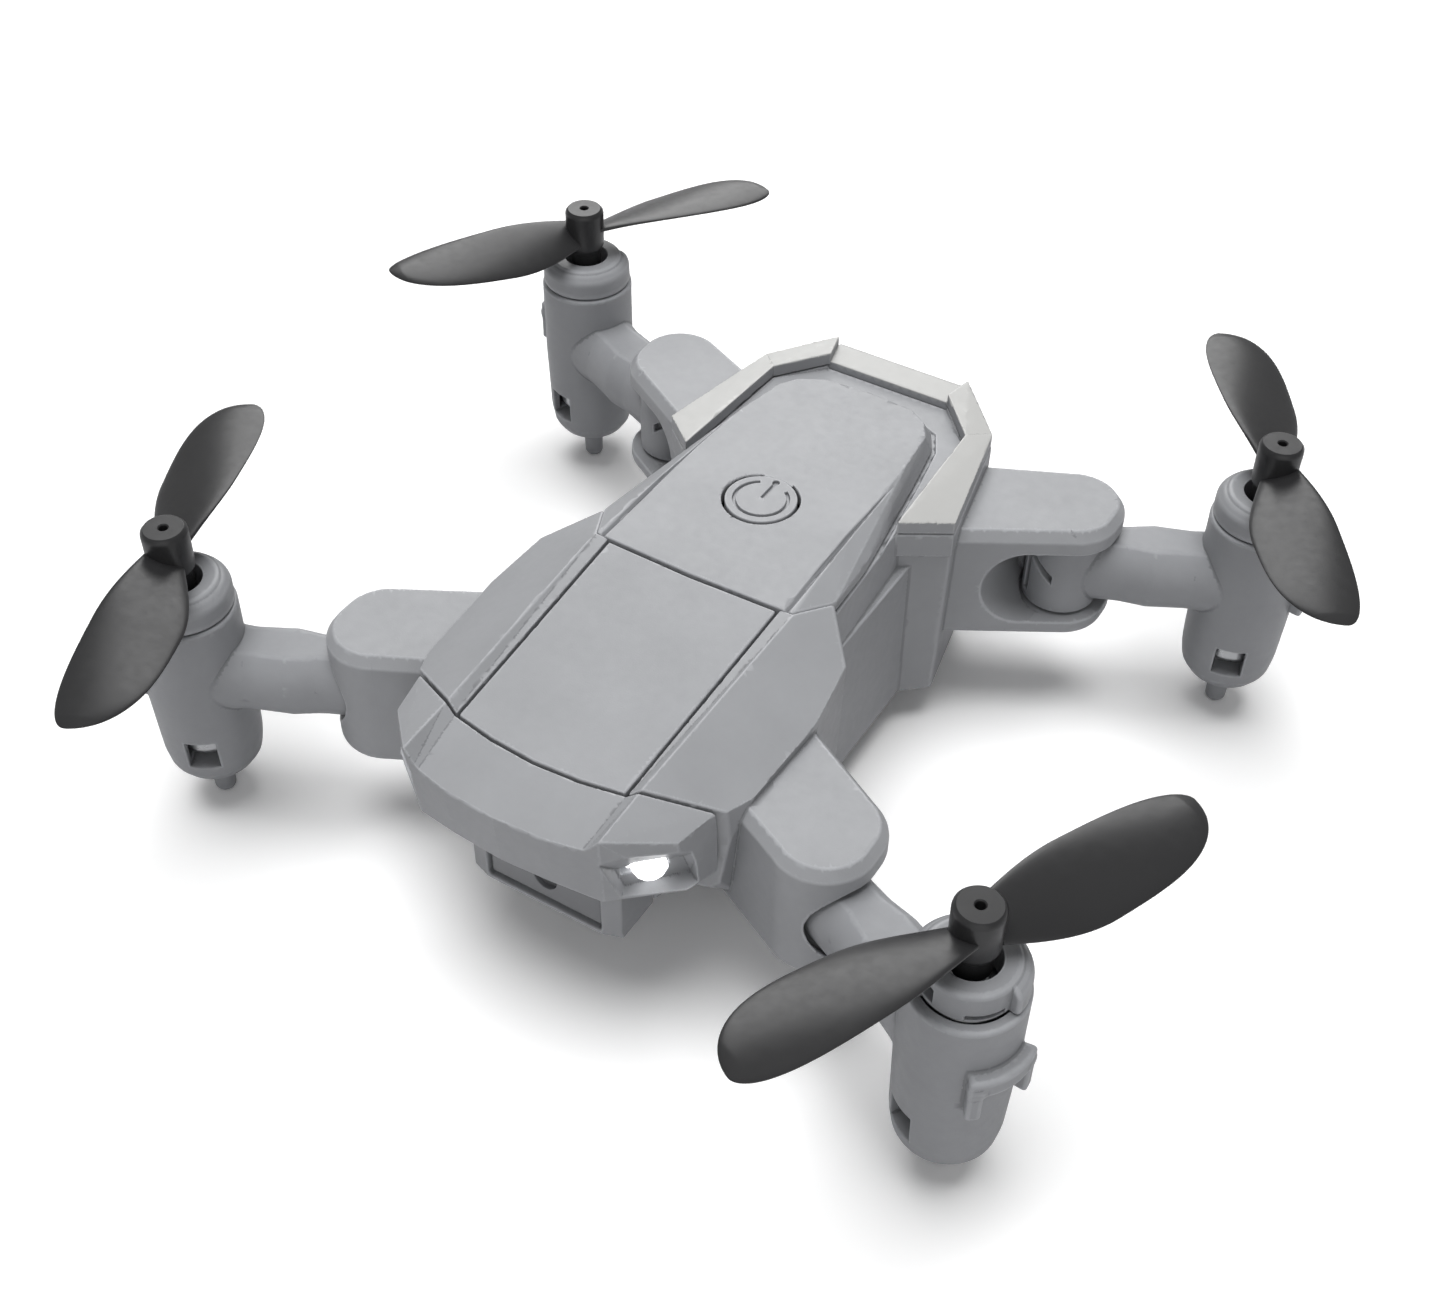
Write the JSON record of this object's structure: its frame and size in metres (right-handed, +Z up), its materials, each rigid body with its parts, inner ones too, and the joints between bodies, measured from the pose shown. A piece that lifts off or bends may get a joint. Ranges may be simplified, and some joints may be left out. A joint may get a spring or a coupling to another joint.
{
  "type": "folding mini quadcopter drone",
  "caption": "Palm-size folding quadcopter: arms swing back along a faceted body, propellers turn freely, with a nose camera, lamps and a slide-out battery.",
  "frame": {"origin": "on the floor plane that the four feet stand on, under the middle of the overall box, blades included", "axes": "+Z up, -Y towards the nose, +X towards the drone's own left side"},
  "size_m": [0.1018, 0.1008, 0.032],
  "materials": {
    "body_plastic": "matte cool mid-grey moulded plastic",
    "arm_plastic": "matte cool mid-grey moulded plastic",
    "silver_trim": "satin light silver-grey",
    "propeller_plastic": "semi-gloss dark grey",
    "dark_window": "smoked gloss window",
    "clear_lens": "clear moulded lens",
    "white_lamp": "white lamp body",
    "steel": "bright steel",
    "circuit_board": "green solder mask",
    "battery_wrap": "dark wrapped cell with a moulded end",
    "black_plastic": "matte black"
  },
  "bodies": {
    "airframe": {"main_shell": "body_plastic", "nose_cover": "body_plastic", "top_panel": "body_plastic", "rear_deck": "body_plastic", "tail_trim": "silver_trim", "belly_cover": "body_plastic", "camera_housing": "body_plastic", "camera_window": "dark_window", "camera_module": "black_plastic", "lamp_lens_left": "clear_lens", "lamp_lens_right": "clear_lens", "lamp_led_left": "white_lamp", "lamp_led_right": "white_lamp", "main_board": "circuit_board", "button_switch": "black_plastic", "belly_screw_1": "steel", "belly_screw_2": "steel", "belly_screw_3": "steel", "belly_screw_4": "steel", "hinge_pin_front_left": "steel", "hinge_pin_front_right": "steel", "hinge_pin_rear_left": "steel", "hinge_pin_rear_right": "steel"},
    "power_button": {"power_button": "body_plastic"},
    "battery": {"battery_pack": "battery_wrap"},
    "arm_front_left": {"arm_front_left": "arm_plastic", "motor_cap_front_left": "arm_plastic", "motor_can_front_left": "steel"},
    "rotor_front_left": {"propeller_front_left": "propeller_plastic", "motor_shaft_front_left": "steel"},
    "arm_front_right": {"arm_front_right": "arm_plastic", "motor_cap_front_right": "arm_plastic", "motor_can_front_right": "steel"},
    "rotor_front_right": {"propeller_front_right": "propeller_plastic", "motor_shaft_front_right": "steel"},
    "arm_rear_left": {"arm_rear_left": "arm_plastic", "motor_cap_rear_left": "arm_plastic", "motor_can_rear_left": "steel"},
    "rotor_rear_left": {"propeller_rear_left": "propeller_plastic", "motor_shaft_rear_left": "steel"},
    "arm_rear_right": {"arm_rear_right": "arm_plastic", "motor_cap_rear_right": "arm_plastic", "motor_can_rear_right": "steel"},
    "rotor_rear_right": {"propeller_rear_right": "propeller_plastic", "motor_shaft_rear_right": "steel"}
  },
  "joints": [
    {"name": "fold_front_left", "type": "hinge", "parent": "airframe", "child": "arm_front_left", "pos_m": [0.0223, -0.02313, 0.0163], "axis": [0, 0, 1], "range_deg": [0, 114.7]},
    {"name": "fold_front_right", "type": "hinge", "parent": "airframe", "child": "arm_front_right", "pos_m": [-0.0223, -0.02313, 0.0163], "axis": [0, 0, -1], "range_deg": [0, 114.7]},
    {"name": "fold_rear_left", "type": "hinge", "parent": "airframe", "child": "arm_rear_left", "pos_m": [0.0223, 0.02487, 0.0163], "axis": [0, 0, -1], "range_deg": [0, 114.7]},
    {"name": "fold_rear_right", "type": "hinge", "parent": "airframe", "child": "arm_rear_right", "pos_m": [-0.0223, 0.02487, 0.0163], "axis": [0, 0, 1], "range_deg": [0, 114.7]},
    {"name": "spin_front_left", "type": "hinge", "parent": "arm_front_left", "child": "rotor_front_left", "pos_m": [0.0382, -0.03043, 0.029], "axis": [0, 0, 1], "continuous": true},
    {"name": "spin_front_right", "type": "hinge", "parent": "arm_front_right", "child": "rotor_front_right", "pos_m": [-0.0382, -0.03043, 0.029], "axis": [0, 0, 1], "continuous": true},
    {"name": "spin_rear_left", "type": "hinge", "parent": "arm_rear_left", "child": "rotor_rear_left", "pos_m": [0.0382, 0.03217, 0.029], "axis": [0, 0, 1], "continuous": true},
    {"name": "spin_rear_right", "type": "hinge", "parent": "arm_rear_right", "child": "rotor_rear_right", "pos_m": [-0.0382, 0.03217, 0.029], "axis": [0, 0, 1], "continuous": true},
    {"name": "press_power_button", "type": "slide", "parent": "airframe", "child": "power_button", "axis": [0, 0, -1], "range_m": [0, 0.0004]},
    {"name": "slide_battery_out", "type": "slide", "parent": "airframe", "child": "battery", "axis": [0, 1, 0], "range_m": [0, 0.04]}
  ]
}
